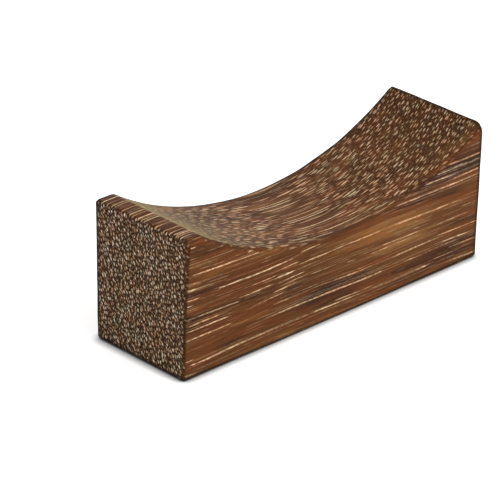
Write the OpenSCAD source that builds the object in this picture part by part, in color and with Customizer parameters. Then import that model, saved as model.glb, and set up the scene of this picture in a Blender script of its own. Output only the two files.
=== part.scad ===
// Chopstick rest: one block of hardwood with a scoop across its top, in millimetres.
// X runs along the grain, Y across it and Z up. The origin is the middle of the base.
// The near end is at -X, where a wider flat land is left beside the scoop.

/* [Block] */
// Length of the block, along the grain
block_l = 45; // [36:0.5:70]
// Width of the block, across the grain
block_w = 15; // [10:0.5:30]
// Height of the block at its ends
block_h = 16.8; // [12:0.1:26]
// Radius that sandpaper leaves on the block's edges
edge_r = 0.5; // [0.2:0.05:1]

/* [Scoop] */
// Depth of the scoop below the top of the ends
scoop_depth = 6.5; // [3:0.1:8]
// Length of the flat land between the scoop and the near end
near_land = 2.4; // [1:0.1:5]
// Length of the flat land between the scoop and the far end
far_land = 0.3; // [0.2:0.1:5]
// Radius that rolls the scoop's two long edges over to the sides
roll_r = 0.9; // [0.3:0.1:2]

/* [Hidden] */
$fn = 128;
// How far a cut reaches past the surface that it opens
overrun = 1;
// Share of the roll's radius by which its arc runs out through the side face, and not along it
roll_out_share = 0.06;
// Colour of oiled dark hardwood
WOOD = [0.32, 0.19, 0.11];

// The scoop is an arc whose ends lie where the lands begin
scoop_chord = block_l - near_land - far_land;
scoop_r = (scoop_chord * scoop_chord / 4 + scoop_depth * scoop_depth) / (2 * scoop_depth);
scoop_x = (near_land - far_land) / 2;
scoop_axis_z = block_h - scoop_depth + scoop_r;

// Rectangle about the origin whose corners are true arcs
module eased_rect(a, b, r) {
    square([a, b - 2 * r], center = true);
    square([a - 2 * r, b], center = true);
    for (x = [-1, 1], y = [-1, 1])
        translate([x * (a / 2 - r), y * (b / 2 - r)])
            circle(r);
}

// Block with every edge eased: its side outline, end outline and plan meet in one solid
module eased_block() {
    translate([0, 0, block_h / 2])
        intersection() {
            rotate([90, 0, 0])
                linear_extrude(block_w, center = true)
                    eased_rect(block_l, block_h, edge_r);
            rotate([90, 0, 90])
                linear_extrude(block_l, center = true)
                    eased_rect(block_w, block_h, edge_r);
            linear_extrude(block_h, center = true)
                eased_rect(block_l, block_w, edge_r);
        }
}

// Half section of the cutting wheel, with radius along X and width along Y.
// Its rim flares near both sides, which leaves the scoop's long edges rolled.
module wheel_section() {
    roll_y = block_w / 2 - roll_r + roll_r * roll_out_share;
    translate([0, -block_w / 2 - overrun])
        square([scoop_r, block_w + 2 * overrun]);
    for (side = [0, 1])
        mirror([0, side])
            difference() {
                translate([scoop_r - overrun, roll_y])
                    square([roll_r + overrun, block_w / 2 + overrun - roll_y]);
                translate([scoop_r + roll_r, roll_y])
                    circle(roll_r);
            }
}

// Wheel that cuts the scoop, its axle across the block and above it
module scoop_wheel() {
    translate([scoop_x, 0, scoop_axis_z])
        rotate([90, 0, 0])
            rotate_extrude()
                wheel_section();
}

module rest_block() {
    color(WOOD)
        difference() {
            eased_block();
            scoop_wheel();
        }
}

rest_block();
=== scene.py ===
import math
from collections import namedtuple

import bpy
import numpy as np
from mathutils import Matrix, Vector, noise


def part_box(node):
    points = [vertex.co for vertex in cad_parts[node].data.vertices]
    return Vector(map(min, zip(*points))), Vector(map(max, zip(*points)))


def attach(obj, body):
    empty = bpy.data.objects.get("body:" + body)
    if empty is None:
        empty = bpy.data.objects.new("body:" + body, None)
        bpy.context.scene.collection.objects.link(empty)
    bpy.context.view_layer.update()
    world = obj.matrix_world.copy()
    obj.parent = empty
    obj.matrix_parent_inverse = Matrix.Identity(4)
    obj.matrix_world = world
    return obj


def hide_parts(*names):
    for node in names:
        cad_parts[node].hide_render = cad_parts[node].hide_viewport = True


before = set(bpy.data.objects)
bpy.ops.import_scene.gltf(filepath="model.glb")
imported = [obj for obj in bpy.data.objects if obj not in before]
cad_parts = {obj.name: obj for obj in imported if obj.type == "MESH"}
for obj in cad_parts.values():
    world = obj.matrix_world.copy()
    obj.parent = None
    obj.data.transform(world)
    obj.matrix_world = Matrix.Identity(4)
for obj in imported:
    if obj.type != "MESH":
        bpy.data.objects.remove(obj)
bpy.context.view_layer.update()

# Lengths are in millimetres until a mesh, lamp or camera is made, and then in metres.
MM = 0.001
BLOCK = "rest_block"

# The scoop, as the solid has it
SCOOP_DEPTH = 6.5
NEAR_LAND = 2.4
FAR_LAND = 0.3
CREST_EASE = 0.12        # how softly the scoop meets its lands

# Hand-cut unevenness: the camera side is drawn in at its base, and both ends lean a little
DRAW_IN = 0.6
LEAN = 0.3

# Edges, softer at the top corners where they are handled most
EDGE_R = 0.40
CORNER_R = 0.75                  # at the top of the near upright edge, camera side
CORNER_START = -3.0              # height from the block's middle at which that begins to widen
FRONT_ROLL = (0.28, 0.45, 1.35)  # radius at the scoop's middle, near end and far end, camera side
BACK_ROLL = (0.35, 0.5, 0.55)    # the same on the other side
ROLL_GROWTH = 2.2                # power of the way from the middle to an end by which the radius changes
EDGE_WEAR = 0.22                 # share by which wear varies a radius
WEAR_PITCH = 3.5
SANDED_PITCH = (9, 7, 6)
SANDED_DEPTH = 0.03
GRAIN_PITCH = (7, 0.9, 0.9)      # of the harder grain, which stands a little proud
GRAIN_DEPTH = 0.012
EDGE_SHADE_REACH = (0.35, 0.85)       # how far from an edge its painted shade begins to fade, and ends

# Mesh: cells along each axis, and how much finer they are beside the edges
CELLS = (236, 78, 88)
EDGE_FINENESS = 0.45
SCOOP_SKIN = 2.6         # depth under the top that follows the scoop without being squeezed
ATLAS_GAP = 0.4          # between the sides as they lie in the baked picture

# Camera: where the photograph was taken from
FOCAL_PX = 3797.0
FRAME_PX = 500
SENSOR = 36.0
CAM_AZIMUTH = -42.25
CAM_ELEVATION = 26.13
CAM_ROLL = -0.57
CAM_DISTANCE = 420.7
CAM_AIM = (-4.74, -1.97)         # of the frame's middle from the aim height, across and up
AIM_HEIGHT = 8.0


def block_size():
    low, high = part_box(BLOCK)
    return np.array(high - low) / MM


def scoop_drop(x, size):
    """How far the top lies below the block's height, at places x along the length."""
    chord = size[0] - NEAR_LAND - FAR_LAND
    radius = (chord ** 2 / 4 + SCOOP_DEPTH ** 2) / (2 * SCOOP_DEPTH)
    middle = (NEAR_LAND - FAR_LAND) / 2
    reach = np.clip(radius ** 2 - (x - middle) ** 2, 0, None)
    drop = SCOOP_DEPTH - radius + np.sqrt(reach)
    return (drop + np.sqrt(drop ** 2 + CREST_EASE ** 2)) / 2


def smooth(low, high, value):
    t = np.clip((value - low) / (high - low), 0, 1)
    return t * t * (3 - 2 * t)


def noise_at(points, pitch, seed):
    """Smooth noise from about -1 to 1 at each point. pitch is the size of its lumps, along each axis."""
    shifted = points / np.array(pitch) + seed
    return np.array([noise.noise(Vector(p)) for p in shifted])


def worn(radius, points):
    return radius * (1 + EDGE_WEAR * noise_at(points, (WEAR_PITCH,) * 3, seed=11.3))


def edge_radius(points, half):
    """Radius of the nearest edge, which grows up the near upright edge on the camera side."""
    x, y, z = points.T
    corner = smooth(0, -half[0], x) * smooth(0, -half[1], y) * smooth(CORNER_START, half[2], z)
    return worn(EDGE_R + (CORNER_R - EDGE_R) * corner, points)


def rolled(points, half):
    """Rolls the top's long edges over to the sides, most of all towards the ends."""
    x, y, z = points.T
    along = x / half[0]
    radii = []
    for middle, near, far in (FRONT_ROLL, BACK_ROLL):
        end = np.where(along < 0, near, far)
        radii.append(middle + (end - middle) * np.abs(along) ** ROLL_GROWTH)
    radius = worn(np.where(y < 0, *radii), points)
    out, up = np.abs(y) - (half[1] - radius), z - (half[2] - radius)
    corner = (out > 0) & (up > 0)
    share = np.where(corner, np.maximum(out, up) / np.hypot(out, up), 1)
    y = np.where(corner, np.sign(y) * (half[1] - radius + out * share), y)
    z = np.where(corner, half[2] - radius + up * share, z)
    return np.stack([x, y, z], 1)


def edge_shade(points, half):
    """How darkly a point is painted with shade, from 0 to 1, by the edges of the far end, back and base,
    which turn away from the camera and lamp.
    """
    to_face = half - np.abs(points)
    burnished = np.stack([half[0] - points[:, 0], half[1] - points[:, 1], half[2] + points[:, 2]], 1)
    to_edge = [np.maximum(burnished[:, k], np.delete(to_face, k, axis=1).min(axis=1)) for k in range(3)]
    return smooth(EDGE_SHADE_REACH[1], EDGE_SHADE_REACH[0], np.minimum.reduce(to_edge))


def box_shell(cells):
    """The quads on a box's six sides, as whole-number grid places, turned outwards, and each quad's side."""
    quads, sides = [], []
    ring = ((0, 0), (1, 0), (1, 1), (0, 1))
    for axis in range(3):
        a, b = (axis + 1) % 3, (axis + 2) % 3
        i, j = np.meshgrid(np.arange(cells[a]), np.arange(cells[b]), indexing="ij")
        for high in (0, 1):
            corners = np.zeros((i.size, 4, 3), int)
            for k, (da, db) in enumerate(ring if high else ring[::-1]):
                corners[:, k, axis] = high * cells[axis]
                corners[:, k, a] = i.ravel() + da
                corners[:, k, b] = j.ravel() + db
            quads.append(corners)
            sides.append(np.full(i.size, 2 * axis + high))
    return np.concatenate(quads), np.concatenate(sides)


def graded(share):
    """Shares of a side, drawn towards both of its ends."""
    return share - EDGE_FINENESS * np.sin(2 * math.pi * share) / (2 * math.pi)


def shaped(points, size):
    """The block's surface: a box whose edges are eased and whose top is lowered into the scoop."""
    half = size / 2
    radius = edge_radius(points, half)[:, None]
    inner = np.clip(points, -half + radius, half - radius)
    away = points - inner
    eased = inner + radius * away / np.linalg.norm(away, axis=1, keepdims=True)
    x, y, z = rolled(eased, half).T + np.array([[0], [0], [half[2]]])
    follow = np.clip(z / (size[2] - SCOOP_SKIN), 0, 1)
    z = z - scoop_drop(x, size) * follow
    height = z / size[2]
    y = y + DRAW_IN * (1 - height) * np.clip(-y / half[1], 0, 1)
    x = x * (1 - LEAN / size[0]) + LEAN * (height - 0.5)
    return np.stack([x, y, z], 1)


def atlas(points, sides, size):
    """A flat place for each corner: the four long sides stacked, and the two ends beside them."""
    x, y, z = (points + size / 2).transpose(2, 0, 1)
    length, width, height = size
    gap = ATLAS_GAP
    # Where each long side starts, by its number: camera side, back, base and top
    row = {2: 0, 3: height + gap, 4: 2 * (height + gap), 5: 2 * (height + gap) + width + gap}
    side = sides[:, None]
    u = np.where(side < 2, length + gap + y, x)
    v = np.select([side == 0, side == 1, side < 4], [z, z + height + gap, z], y)
    v += np.select([side == k for k in row], list(row.values()), 0)
    full = max(length + gap + width, row[5] + width)
    return np.stack([u, v], 2) / full


def wood_mesh():
    size = block_size()
    places, sides = box_shell(CELLS)
    grid, index = np.unique(places.reshape(-1, 3), axis=0, return_inverse=True)
    flat = (graded(grid / np.array(CELLS)) - 0.5) * size
    quads = index.reshape(-1, 4)
    mesh = bpy.data.meshes.new("rest_block_wood")
    mesh.from_pydata((shaped(flat, size) * MM).tolist(), [], quads.tolist())
    mesh.shade_smooth()
    relief(mesh)
    layer = mesh.uv_layers.new(name="OFBake")
    layer.uv.foreach_set("vector", atlas(flat[quads], sides, size).ravel().astype(np.float32))
    # How much painted shade each point gets from the edges of the far end, back and base
    edge = mesh.attributes.new("edge", "FLOAT", "POINT")
    edge.data.foreach_set("value", edge_shade(flat, size / 2).astype(np.float32))
    return mesh


def relief(mesh):
    """Makes the faces a little uneven, as hand sanding leaves them, with the harder grain proud."""
    count = len(mesh.vertices)
    places, normals = np.empty(count * 3, np.float32), np.empty(count * 3, np.float32)
    mesh.vertices.foreach_get("co", places)
    mesh.vertex_normals.foreach_get("vector", normals)
    places, normals = places.reshape(-1, 3), normals.reshape(-1, 3)
    sanded = noise_at(places / MM, SANDED_PITCH, seed=3.7) * SANDED_DEPTH
    grain = noise_at(places / MM, GRAIN_PITCH, seed=8.1) * GRAIN_DEPTH
    places += normals * ((sanded + grain - SANDED_DEPTH) * MM)[:, None]
    mesh.vertices.foreach_set("co", places.ravel().astype(np.float32))
    mesh.update()


class Nodes:
    """Adds shader nodes to one material and links them as it goes."""

    def __init__(self, material):
        material.use_nodes = True
        self.tree = material.node_tree
        self.tree.nodes.clear()

    def add(self, kind, inputs=(), **settings):
        n = self.tree.nodes.new("ShaderNode" + kind)
        for name, value in settings.items():
            setattr(n, name, value)
        for name, value in dict(inputs).items():
            self.feed(n.inputs[name], value)
        return n

    def feed(self, socket, value):
        if isinstance(value, bpy.types.NodeSocket):
            self.tree.links.new(value, socket)
        else:
            socket.default_value = value

    def math(self, operation, a, b=0.0, c=0.0):
        return self.add("Math", {0: a, 1: b, 2: c}, operation=operation).outputs[0]

    def ramp(self, value, low, high, to_low=0.0, to_high=1.0):
        inputs = {"Value": value, "From Min": low, "From Max": high, "To Min": to_low, "To Max": to_high}
        return self.add("MapRange", inputs, interpolation_type="SMOOTHSTEP").outputs["Result"]

    def mix(self, share, a, b, blend="MIX"):
        # Of a Mix node, inputs 6 and 7 and output 2 are its colours
        n = self.add("Mix", {"Factor": share, 6: a, 7: b}, data_type="RGBA", blend_type=blend)
        return n.outputs[2]

    def mix_value(self, share, a, b):
        return self.add("Mix", {"Factor": share, "A": a, "B": b}, data_type="FLOAT").outputs[0]

    def shade(self, tint, tone):
        """A colour made darker or lighter by a plain number."""
        return self.mix(1.0, tint, self.vector(tone, tone, tone), "MULTIPLY")

    def noise(self, vector, scale, detail=2.0):
        stretched = self.add("VectorMath", {0: vector, 1: scale}, operation="MULTIPLY").outputs[0]
        return self.add("TexNoise", {"Vector": stretched, "Scale": 1.0, "Detail": detail})

    def parts(self, vector):
        return self.add("SeparateXYZ", {0: vector}).outputs

    def vector(self, x=0.0, y=0.0, z=0.0):
        return self.add("CombineXYZ", {0: x, 1: y, 2: z}).outputs[0]


def colour(red, green, blue):
    """A colour as the screen shows it, from 0 to 255, in Blender's linear values."""
    screen = np.array([red, green, blue]) / 255
    linear = np.where(screen <= 0.04045, screen / 12.92, ((screen + 0.055) / 1.055) ** 2.4)
    return (*linear.tolist(), 1.0)


Grain = namedtuple("Grain", "x p q")
Faces = namedtuple("Faces", "end slope scooped top rim far")
Fade = namedtuple("Fade", "along across low high least")

# Wood, by the grain's own axes: x along it, and two across it, of which p runs along the rays
RAY_ANGLE = math.radians(20)     # of the rays from upright, on the end face
BOLD_PITCH = (0.55, 0.40)        # mean distance between bold pale threads, along p and q
FINE_PITCH = (0.34, 0.22)        # the same for fine ones between them
FINE_SHARE = (0.16, 0.50, 0.30)  # how strong they are beside those, on sides, top and slopes
THREAD_SCATTER = 0.8             # how far threads stray from even rows
THREAD_LUCK = (0.5, 0.7)         # what luck adds to a thread's size, and its least size
SIDE_SIZE = (0.225, 0.28)        # half a thread's size along p and q in pitches, as the sides show it
SCOOP_SIZE = (0.30, 0.20)        # the same in the scoop and on its lands
END_SIZE = (0.39, 0.27)          # and on end grain
THREAD_CORE = 0.6                # share of that out to which a thread is full
EVENNESS = (0.55, 0.90)          # how little threads fade along their length, on slopes and top
RIM_THREAD = 0.35                # how strong a thread is at most on rounded edges
SLOPE_THREAD = 0.90              # on the slopes
FAR_THREAD = 0.93                # and towards the far end
FAR_RUN = (-14, 14)              # where along the length that change starts and ends
GRAIN_LEAN = (0.010, 0.012)      # how much the threads lean in y and z along the length
DRIFT = ((1.2, 0.25, 0.10), (1.6, 0.30, 0.04))  # how far they wander in y and z, over long to short runs
DRIFT_LUMPS = ((0.035, 0.10), (0.13, 0.9), (0.75, 1.6))  # how many per mm in those, along and across

# How far a face's normal turns before the face begins to count as one kind, and when it fully does:
# to the length for end grain and slopes, upwards for the top, and to both sides of an edge for a rim
END_TURN = (0.35, 0.95)
SLOPE_TURN = (0.10, 0.50)
TOP_TURN = (0.6, 0.9)
RIM_TURN = (0.06, 0.38)

# Noise that fades threads: lumps per mm along the grain and across it, the values between which a
# thread grows to its full strength, and how strong it is at least
BREAKS = Fade(0.20, 1.9, 0.36, 0.58, 0.22)
BEADS = Fade(1.7, 4.5, 0.34, 0.60, 0.45)
SPECKS = Fade(2.6, 4.5, 0.40, 0.56, 0.66)       # less on slopes, and not at all on ends

# Bands of dark to light wood, and fine fibres: lumps per mm along and across, and their detail
BANDS = (0.045, (0.42, 0.5), 2.0)
FIBRES = (0.25, (7.0, 7.0), 2.0)
RED_BAND = (0.36, 0.50)          # values of the bands' noise over which dark wood turns red brown
GOLD_BAND = (0.56, 0.68)         # and over which that turns gold brown
THREAD_BAND = (0.36, 0.46, 0.60)       # and over which threads grow, from a least strength
FIBRE_TONE = (0.3, 0.7, 0.78, 1.22)    # values of the fibres' noise, and the tones that they give
MOTTLE_LUMPS = (0.6, 2.4, 2.4)         # how many per mm of darker and lighter end grain
MOTTLE_TONE = (0.32, 0.68, 0.75, 1.5)  # values of their noise, and the tones that they give
PATCH_LUMPS = (0.15, 0.9, 0.9)         # how many per mm with a warmer or cooler cast
PATCH_EDGE = (0.38, 0.62)              # values of their noise over which one cast turns to the other
PALE_LUCK = (0.3, 1.0)                 # luck over which a thread's colour turns from tan to pale

# Colours
DARK_BROWN = colour(58, 35, 22)
SCOOP_BROWN = colour(76, 44, 21)       # the darkest wood in the scoop, where less of it shows
RED_BROWN = colour(93, 55, 29)
GOLD_BROWN = colour(118, 78, 42)
THREAD_TAN = colour(214, 170, 130)
THREAD_PALE = colour(252, 217, 178)
END_DARK = colour(47, 28, 10)
END_TAN = colour(202, 166, 132)
END_PALE = colour(255, 234, 208)
END_DARK_SHARE = (0.45, 0.75)    # how far END_DARK covers other wood on slopes, and on ends
# Colour of the painted shade along the edges of the far end, back and base
EDGE_DARK = colour(38, 27, 20)
EDGE_SHARE = 0.86                # how far the painted shade covers the wood at an edge
SLOPE_TONE = 0.80                # how much darker the slopes are made, in part by oil that their end grain drinks and in part as painted shade
TOP_SHADE = 0.35                   # how much of that the level top takes, all of it painted shade
LAND_TONE = 0.76                 # how much darker the near land is: painted shade on that upward face
LAND_BLUR = (0.3, -0.2)          # where that starts and is full, beside the land's edge
RED_CAST = (1.07, 0.98, 0.94, 1)
GREEN_CAST = (0.95, 1.01, 0.98, 1)
FAR_CAST = (1.15, 1.20, 1.26, 1)       # the wood between threads pales a little towards the far end

# Surface: fibres stand proud and threads lie open, and oil leaves a soft shine
PROUD = (0.5, -0.6)              # of fibres and of threads, in shares of the relief
RELIEF = 0.03
RELIEF_STRENGTH = 0.5
ROUGHNESS = (0.44, 0.62)         # between threads, and on them
SHINE = 0.04
SHEEN = 0.54
SHEEN_ROUGHNESS = 0.18
SHEEN_TINT = (1.0, 0.80, 0.24, 1)


def grain_places(n, mm):
    """Coordinates of a place in the grain: along it, and across it after the threads' wandering."""
    x, y, z = n.parts(mm)
    runs = []
    for along, wide in DRIFT_LUMPS:
        runs.append(n.parts(n.noise(mm, (along, wide, wide), detail=1.0).outputs["Color"]))
    across = []
    for k, (axis, lean) in enumerate(((y, GRAIN_LEAN[0]), (z, GRAIN_LEAN[1]))):
        place = n.math("MULTIPLY_ADD", x, lean, axis)
        for run, reach in zip(runs, DRIFT[k]):
            place = n.math("MULTIPLY_ADD", run[k + 1], reach, place)
        across.append(place)
    y, z = across
    sine, cosine = math.sin(RAY_ANGLE), math.cos(RAY_ANGLE)
    p = n.math("MULTIPLY_ADD", y, sine, n.math("MULTIPLY", z, cosine))
    q = n.math("MULTIPLY_ADD", y, cosine, n.math("MULTIPLY", z, -sine))
    return Grain(x, p, q)


def face_shares(n, normal, x):
    """How much a face shows end grain, slopes, is scooped, looks up, is a rim and lies at the far end."""
    along = n.math("ABSOLUTE", normal[0])
    end = n.ramp(along, *END_TURN)
    slope = n.ramp(along, *SLOPE_TURN)
    rim = n.math("ABSOLUTE", n.math("MULTIPLY", normal[1], n.math("MAXIMUM", along, normal[2])))
    return Faces(end, slope, n.math("SUBTRACT", slope, end), n.ramp(normal[2], *TOP_TURN),
                 n.ramp(rim, *RIM_TURN), n.ramp(x, *FAR_RUN))


def drawn_out(n, grain, along, across, detail):
    """Noise drawn out along the grain, with so many lumps per mm along it and across it."""
    place = n.vector(n.math("MULTIPLY", grain.x, along), grain.p, grain.q)
    return n.noise(place, (1.0, *across), detail).outputs["Fac"]


def faded(n, grain, fade):
    """How strong a thread is left by such a fade, from its least strength to 1."""
    value = drawn_out(n, grain, fade.along, (fade.across, fade.across), detail=1.0)
    return n.ramp(value, fade.low, fade.high, fade.least, 1.0)


def threads(n, grain, faces, pitch):
    """Pale threads so far apart that run along the grain, and the luck of each one."""
    across = n.vector(n.math("DIVIDE", grain.p, pitch[0]), n.math("DIVIDE", grain.q, pitch[1]))
    cells = n.add("TexVoronoi", {"Vector": across, "Scale": 1.0, "Randomness": THREAD_SCATTER},
                  voronoi_dimensions="2D")
    luck = n.parts(cells.outputs["Color"])
    away = n.parts(n.add("VectorMath", {0: across, 1: cells.outputs["Position"]},
                         operation="SUBTRACT").outputs[0])
    cut = n.math("MAXIMUM", faces.slope, faces.top)
    squares = []
    for k in (0, 1):
        half = n.mix_value(cut, SIDE_SIZE[k], n.mix_value(faces.end, SCOOP_SIZE[k], END_SIZE[k]))
        squares.append(n.math("POWER", n.math("DIVIDE", n.math("ABSOLUTE", away[k]), half), 2))
    reach = n.math("SQRT", n.math("ADD", *squares))
    reach = n.math("DIVIDE", reach, n.math("MULTIPLY_ADD", luck[0], *THREAD_LUCK))
    return n.ramp(reach, 1.0, THREAD_CORE), luck


def thread_mask(n, grain, faces, bands):
    """How strongly threads of soft tissue show, bold and fine, and the luck of the bold ones."""
    bold, luck = threads(n, grain, faces, BOLD_PITCH)
    fine, _ = threads(n, grain, faces, FINE_PITCH)
    beads = faded(n, grain, BEADS)
    strength = n.math("MULTIPLY", faded(n, grain, BREAKS), beads)
    strength = n.math("MULTIPLY", strength, n.ramp(bands, *THREAD_BAND, 1.0))
    even = n.math("MAXIMUM", n.math("MULTIPLY", faces.slope, EVENNESS[0]),
                  n.math("MULTIPLY", faces.top, EVENNESS[1]))
    strength = n.mix_value(even, strength, 1.0)
    strength = n.math("MULTIPLY", strength, n.mix_value(faces.slope, faded(n, grain, SPECKS), 1.0))
    share = n.mix_value(faces.slope, n.mix_value(faces.top, *FINE_SHARE[:2]), FINE_SHARE[2])
    fine = n.math("MULTIPLY", n.math("MULTIPLY", fine, beads), share)
    thread = n.math("MAXIMUM", n.math("MULTIPLY", bold, strength), fine)
    for share, most in ((faces.rim, RIM_THREAD), (faces.scooped, SLOPE_THREAD), (faces.far, FAR_THREAD)):
        thread = n.math("MULTIPLY", thread, n.mix_value(share, 1.0, most))
    return thread, luck


def plain_wood(n, mm, grain, faces, bands, fibre):
    """Colour of the wood between the threads, in bands from near black to gold brown."""
    dark = n.mix(n.math("MAXIMUM", faces.top, faces.scooped), DARK_BROWN, SCOOP_BROWN)
    wood = n.mix(n.ramp(bands, *RED_BAND), dark, RED_BROWN)
    wood = n.mix(n.ramp(bands, *GOLD_BAND), wood, GOLD_BROWN)
    for face, share in zip((faces.slope, faces.end), END_DARK_SHARE):
        wood = n.mix(n.math("MULTIPLY", face, share), wood, END_DARK)
    mottle = n.noise(mm, MOTTLE_LUMPS).outputs["Fac"]
    tone = n.mix_value(faces.end, 1.0, n.ramp(mottle, *MOTTLE_TONE))
    tone = n.math("MULTIPLY", tone, n.ramp(fibre, *FIBRE_TONE))
    # The near land, which faces up, is painted darker: painted shade
    land_x = float(NEAR_LAND - block_size()[0] / 2)
    land = n.math("MULTIPLY", faces.top, n.ramp(grain.x, land_x + LAND_BLUR[0], land_x + LAND_BLUR[1]))
    wood = n.shade(wood, n.math("MULTIPLY", tone, n.mix_value(land, 1.0, LAND_TONE)))
    return n.mix(faces.far, wood, n.mix(1.0, wood, FAR_CAST, "MULTIPLY"))


def wood_colour(n, mm, plain, thread, luck, faces):
    """The wood with its threads, its patches of warmer and cooler brown, its darker slopes and top, in part
    oil and in part painted shade, and painted shade along its edges.
    """
    pale = n.ramp(luck[2], *PALE_LUCK)
    tissue = n.mix(faces.end, n.mix(pale, THREAD_TAN, THREAD_PALE), n.mix(pale, END_TAN, END_PALE))
    patches = n.ramp(n.noise(mm, PATCH_LUMPS, detail=1.0).outputs["Fac"], *PATCH_EDGE)
    wood = n.mix(1.0, n.mix(thread, plain, tissue), n.mix(patches, RED_CAST, GREEN_CAST), "MULTIPLY")
    # Slopes, and the level top less, are painted darker: oil on the slopes' end grain, and painted shade
    oil_and_shade = n.math("MAXIMUM", faces.scooped, n.math("MULTIPLY", faces.top, TOP_SHADE))
    wood = n.shade(wood, n.mix_value(oil_and_shade, 1.0, SLOPE_TONE))
    # Painted shade along the edges of the far end, back and base
    edge = n.add("Attribute", attribute_name="edge").outputs["Fac"]
    return n.mix(n.math("MULTIPLY", edge, EDGE_SHARE), wood, EDGE_DARK)


def wood_material():
    material = bpy.data.materials.new("oiled_dark_hardwood")
    n = Nodes(material)
    place = n.add("TexCoord")
    mm = n.add("VectorMath", {0: place.outputs["Object"], "Scale": 1 / MM}, operation="SCALE").outputs[0]
    grain = grain_places(n, mm)
    faces = face_shares(n, n.parts(place.outputs["Normal"]), grain.x)
    bands = drawn_out(n, grain, *BANDS)
    fibre = drawn_out(n, grain, *FIBRES)
    thread, luck = thread_mask(n, grain, faces, bands)
    plain = plain_wood(n, mm, grain, faces, bands, fibre)
    height = n.math("MULTIPLY_ADD", thread, PROUD[1], n.math("MULTIPLY", fibre, PROUD[0]))
    bump = n.add("Bump", {"Height": height, "Strength": RELIEF_STRENGTH, "Distance": RELIEF * MM})
    shader = n.add("BsdfPrincipled", {"Base Color": wood_colour(n, mm, plain, thread, luck, faces),
                                      "Roughness": n.ramp(thread, 0.0, 1.0, *ROUGHNESS),
                                      "Normal": bump.outputs["Normal"], "Specular IOR Level": SHINE,
                                      "Sheen Weight": SHEEN, "Sheen Roughness": SHEEN_ROUGHNESS,
                                      "Sheen Tint": SHEEN_TINT})
    n.add("OutputMaterial", {"Surface": shader.outputs["BSDF"]})
    return material


def make_block():
    piece = bpy.data.objects.new("rest_block_wood", wood_mesh())
    bpy.context.scene.collection.objects.link(piece)
    piece.data.materials.append(wood_material())
    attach(piece, "root")
    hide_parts(BLOCK)


def make_camera():
    azimuth, elevation, roll = (math.radians(a) for a in (CAM_AZIMUTH, CAM_ELEVATION, CAM_ROLL))
    back = Vector((math.sin(azimuth) * math.cos(elevation), -math.cos(azimuth) * math.cos(elevation),
                   math.sin(elevation)))
    level = Vector((0, 0, 1)).cross(back).normalized()
    rise = back.cross(level)
    right = math.cos(roll) * level + math.sin(roll) * rise
    up = math.cos(roll) * rise - math.sin(roll) * level
    aim = Vector((0, 0, AIM_HEIGHT)) + CAM_AIM[0] * right + CAM_AIM[1] * up
    camera = bpy.data.cameras.new("camera")
    camera.sensor_width = SENSOR
    camera.lens = FOCAL_PX * SENSOR / FRAME_PX
    holder = bpy.data.objects.new("camera", camera)
    turn = Matrix((right, up, back)).transposed().to_4x4()
    holder.matrix_world = Matrix.Translation((aim + CAM_DISTANCE * back) * MM) @ turn
    bpy.context.scene.collection.objects.link(holder)
    bpy.context.scene.camera = holder


FLOOR_SIZE = 6000.0
FLOOR_DROP = 0.01                # below the base, so that the two don't meet in one plane
FLOOR_WHITE = 0.85
FLOOR_GLOW = (0.57, 0.2)         # light that it adds where the camera sees it, and where gloss does
CONTACT_REACH = 1.15             # how far from the block its contact shadow darkens the floor
CONTACT_FADE = 2.0               # power of that darkening by which the added light fades there
WORLD_LIGHT = (0.62, 1.0)        # on the block, and as the camera and gloss see it
KEY_WAY = (0.30, -0.85, 0.75)    # towards the lamp from the block
KEY_DISTANCE = 900.0
KEY_SIZE = 700.0
KEY_WATTS = 6.0


def make_floor():
    material = bpy.data.materials.new("white_sweep")
    n = Nodes(material)
    path = n.add("LightPath").outputs
    mirrored = n.math("MAXIMUM", path["Is Glossy Ray"], path["Is Transmission Ray"])
    glow = n.math("MULTIPLY_ADD", path["Is Camera Ray"], FLOOR_GLOW[0],
                  n.math("MULTIPLY", mirrored, FLOOR_GLOW[1]))
    clear = n.add("AmbientOcclusion", {"Distance": CONTACT_REACH * MM}).outputs["AO"]
    white = n.math("MULTIPLY", clear, FLOOR_WHITE)
    glow = n.math("MULTIPLY", glow, n.math("POWER", clear, CONTACT_FADE))
    paper = n.add("BsdfDiffuse", {"Color": n.vector(white, white, white)})
    light = n.add("Emission", {"Color": (1, 1, 1, 1), "Strength": glow})
    both = n.add("AddShader", {0: paper.outputs[0], 1: light.outputs[0]})
    n.add("OutputMaterial", {"Surface": both.outputs[0]})
    mesh = bpy.data.meshes.new("floor")
    reach = FLOOR_SIZE / 2 * MM
    mesh.from_pydata([(-reach, -reach, 0), (reach, -reach, 0), (reach, reach, 0), (-reach, reach, 0)],
                     [], [(0, 1, 2, 3)])
    floor = bpy.data.objects.new("floor", mesh)
    floor.location.z = -FLOOR_DROP * MM
    mesh.materials.append(material)
    bpy.context.scene.collection.objects.link(floor)


def seen_rays(n):
    """1 for the camera's rays and for those that gloss or glass reflects, else 0."""
    path = n.add("LightPath").outputs
    seen = n.math("ADD", path["Is Camera Ray"], path["Is Glossy Ray"])
    return n.math("MINIMUM", n.math("ADD", seen, path["Is Transmission Ray"]), 1.0)


def make_world():
    world = bpy.data.worlds.new("studio")
    bpy.context.scene.world = world
    n = Nodes(world)
    strength = n.ramp(seen_rays(n), 0, 1, *WORLD_LIGHT)
    background = n.add("Background", {"Color": (1, 1, 1, 1), "Strength": strength})
    n.add("OutputWorld", {"Surface": background.outputs[0]})


def make_key_lamp():
    """A square soft lamp above the camera's side, which shines at the block."""
    lamp = bpy.data.lights.new("key", "AREA")
    lamp.size = KEY_SIZE * MM
    lamp.energy = KEY_WATTS
    holder = bpy.data.objects.new("key", lamp)
    way = Vector(KEY_WAY).normalized()
    holder.location = way * KEY_DISTANCE * MM
    holder.rotation_euler = way.to_track_quat("Z", "Y").to_euler()
    bpy.context.scene.collection.objects.link(holder)


bpy.context.scene.view_settings.view_transform = "Standard"
make_camera()
make_block()
make_floor()
make_world()
make_key_lamp()
